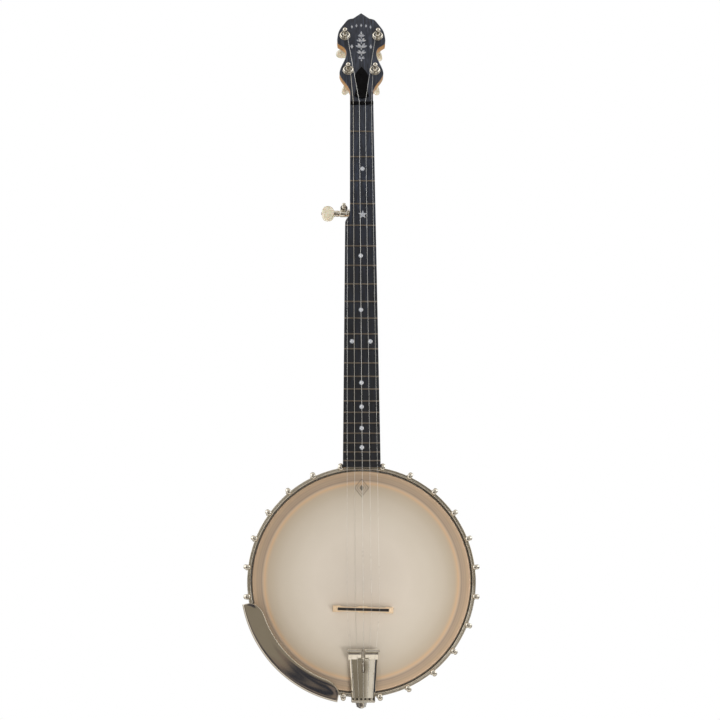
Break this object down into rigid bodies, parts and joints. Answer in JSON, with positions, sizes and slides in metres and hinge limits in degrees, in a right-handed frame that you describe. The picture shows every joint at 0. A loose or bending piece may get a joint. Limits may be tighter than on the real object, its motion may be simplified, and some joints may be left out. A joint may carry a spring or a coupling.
{
  "type": "banjo",
  "caption": "Open-back five-string banjo: slim fretted neck with a geared fifth peg, round metal-hooped pot with a translucent head, armrest, bridge and tailpiece.",
  "frame": {"origin": "where the centreline of the fingerboard's playing surface meets the nut, which is also where a wall hanger's yoke holds the neck", "axes": "+Z from the pot to the peghead, +Y from the playing side to the back, +X to a viewer's right as they face the strings; the fifth peg is on -X"},
  "size_m": [0.304, 0.0843, 0.9373],
  "materials": {
    "amber_maple": "gloss lacquer over amber-stained maple",
    "dyed_maple": "satin, blue-black dyed maple with open streaks",
    "black_horn": "polished black",
    "nickel": "polished nickel plate",
    "tone_ring_metal": "nickel-plated brass",
    "steel": "plated steel",
    "string_steel": "drawn steel wire",
    "head_film": "translucent amber drumhead film",
    "pearl": "cream pearloid",
    "bridge_maple": "bare maple with an ebony strip"
  },
  "bodies": {
    "root": {"neck": "amber_maple", "fingerboard": "dyed_maple", "peghead_overlay": "dyed_maple", "truss_rod_cover": "black_horn", "nut": "black_horn", "fifth_string_nut": "black_horn", "rim": "amber_maple", "tone_ring": "tone_ring_metal", "head": "head_film", "tension_hoop": "nickel", "coordinator_rod": "steel", "tailpiece": "nickel", "tailpiece_hanger": "steel", "armrest": "nickel", "bridge": "bridge_maple", "string_1": "string_steel", "string_2": "string_steel", "string_3": "string_steel", "string_4": "string_steel", "string_5": "string_steel", "bracket_01": "nickel", "bracket_02": "nickel", "bracket_03": "nickel", "bracket_04": "nickel", "bracket_05": "nickel", "bracket_06": "nickel", "bracket_07": "nickel", "bracket_08": "nickel", "bracket_09": "nickel", "bracket_10": "nickel", "bracket_11": "nickel", "bracket_12": "nickel", "bracket_13": "nickel", "bracket_14": "nickel", "bracket_15": "nickel", "bracket_16": "nickel", "bracket_17": "nickel", "bracket_18": "nickel", "bracket_19": "nickel", "bracket_20": "nickel", "bracket_21": "nickel", "bracket_22": "nickel", "bracket_23": "nickel", "bracket_24": "nickel", "peg_fourth_housing": "nickel", "peg_third_housing": "nickel", "peg_second_housing": "nickel", "peg_first_housing": "nickel", "peg_fifth_housing": "nickel"},
    "peg_fourth_button": {"peg_fourth_button": "pearl"},
    "peg_fourth_post": {"peg_fourth_post": "nickel"},
    "peg_third_button": {"peg_third_button": "pearl"},
    "peg_third_post": {"peg_third_post": "nickel"},
    "peg_second_button": {"peg_second_button": "pearl"},
    "peg_second_post": {"peg_second_post": "nickel"},
    "peg_first_button": {"peg_first_button": "pearl"},
    "peg_first_post": {"peg_first_post": "nickel"},
    "peg_fifth_button": {"peg_fifth_button": "pearl"},
    "peg_fifth_post": {"peg_fifth_post": "nickel"},
    "tailpiece_thumb_nut": {"tailpiece_thumb_nut": "nickel"}
  },
  "joints": [
    {"name": "peg_fourth_button_turn", "type": "hinge", "parent": "root", "child": "peg_fourth_button", "pos_m": [-0.0182, 0.01406, 0.05379], "axis": [0, -0.9816, 0.1908], "continuous": true},
    {"name": "peg_fourth_post_turn", "type": "hinge", "parent": "root", "child": "peg_fourth_post", "pos_m": [-0.0182, 0.01406, 0.05379], "axis": [0, -0.9816, 0.1908], "continuous": true},
    {"name": "peg_third_button_turn", "type": "hinge", "parent": "root", "child": "peg_third_button", "pos_m": [-0.0225, 0.02451, 0.10759], "axis": [0, -0.9816, 0.1908], "continuous": true},
    {"name": "peg_third_post_turn", "type": "hinge", "parent": "root", "child": "peg_third_post", "pos_m": [-0.0225, 0.02451, 0.10759], "axis": [0, -0.9816, 0.1908], "continuous": true},
    {"name": "peg_second_button_turn", "type": "hinge", "parent": "root", "child": "peg_second_button", "pos_m": [0.0225, 0.02451, 0.10759], "axis": [0, -0.9816, 0.1908], "continuous": true},
    {"name": "peg_second_post_turn", "type": "hinge", "parent": "root", "child": "peg_second_post", "pos_m": [0.0225, 0.02451, 0.10759], "axis": [0, -0.9816, 0.1908], "continuous": true},
    {"name": "peg_first_button_turn", "type": "hinge", "parent": "root", "child": "peg_first_button", "pos_m": [0.0182, 0.01406, 0.05379], "axis": [0, -0.9816, 0.1908], "continuous": true},
    {"name": "peg_first_post_turn", "type": "hinge", "parent": "root", "child": "peg_first_post", "pos_m": [0.0182, 0.01406, 0.05379], "axis": [0, -0.9816, 0.1908], "continuous": true},
    {"name": "peg_fifth_button_turn", "type": "hinge", "parent": "root", "child": "peg_fifth_button", "pos_m": [-0.0345, 0.013, -0.1481], "axis": [-1, 0, 0], "continuous": true},
    {"name": "peg_fifth_post_turn", "type": "hinge", "parent": "root", "child": "peg_fifth_post", "pos_m": [-0.0236, 0.01455, -0.1423], "axis": [0, -0.9659, 0.2588], "continuous": true},
    {"name": "tailpiece_thumb_nut_turn", "type": "hinge", "parent": "root", "child": "tailpiece_thumb_nut", "pos_m": [0, 0.0327, -0.7865], "axis": [0, 1, 0], "range_deg": [-1260, 1260]}
  ],
  "couplings": [
    {"joint": "peg_fourth_post_turn", "follows": "peg_fourth_button_turn", "ratio": 0.25},
    {"joint": "peg_third_post_turn", "follows": "peg_third_button_turn", "ratio": 0.25},
    {"joint": "peg_second_post_turn", "follows": "peg_second_button_turn", "ratio": 0.25},
    {"joint": "peg_first_post_turn", "follows": "peg_first_button_turn", "ratio": 0.25},
    {"joint": "peg_fifth_post_turn", "follows": "peg_fifth_button_turn", "ratio": 0.083333}
  ]
}
